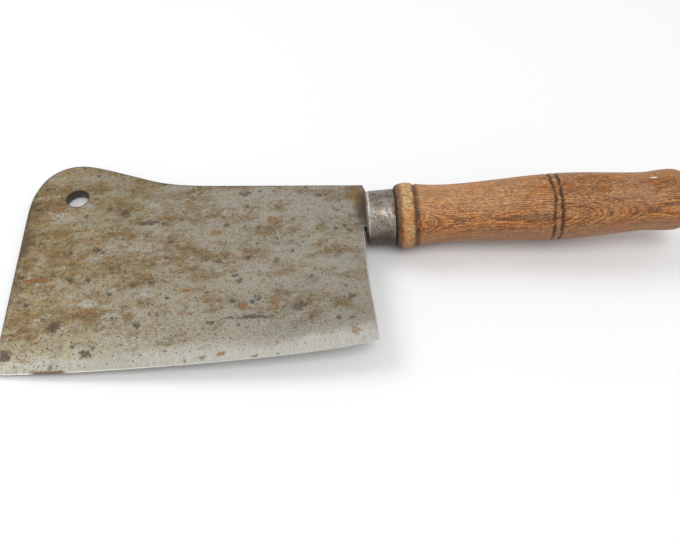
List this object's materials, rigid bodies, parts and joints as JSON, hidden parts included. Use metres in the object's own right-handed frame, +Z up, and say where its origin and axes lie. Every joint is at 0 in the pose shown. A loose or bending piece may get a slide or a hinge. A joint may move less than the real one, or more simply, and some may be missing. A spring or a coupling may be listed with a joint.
{
  "type": "meat cleaver",
  "caption": "Old butcher's cleaver: broad plate blade with a raised corner and hanging hole, through tang, steel ferrule and turned wooden handle, lying on its side.",
  "frame": {"origin": "centre of the bounding box, on the table that the cleaver lies on", "axes": "+X from the blade's far end towards the butt of the handle, +Y from the cutting edge towards the spine, +Z up from the table; the tool rests on the underside of the blade's far end and on the bead behind the ferrule, so its own axis rises 4.3 degrees towards the butt"},
  "size_m": [0.3316, 0.129, 0.0415],
  "materials": {
    "blade_steel": "old carbon steel, grey with brown patina, pits and rust specks, brighter along the sharpened edge",
    "ferrule_steel": "tarnished brown-grey steel, satin, rubbed bright on the front shoulder",
    "handle_wood": "oiled old beech, satin, lengthwise grain and flecks, dark in the grooves",
    "washer_steel": "tarnished steel, satin",
    "cutler_pitch": "dark hard pitch, matt"
  },
  "bodies": {
    "root": {"blade": "blade_steel", "ferrule": "ferrule_steel", "handle": "handle_wood", "butt_washer": "washer_steel", "tang_cement": "cutler_pitch"}
  },
  "joints": []
}
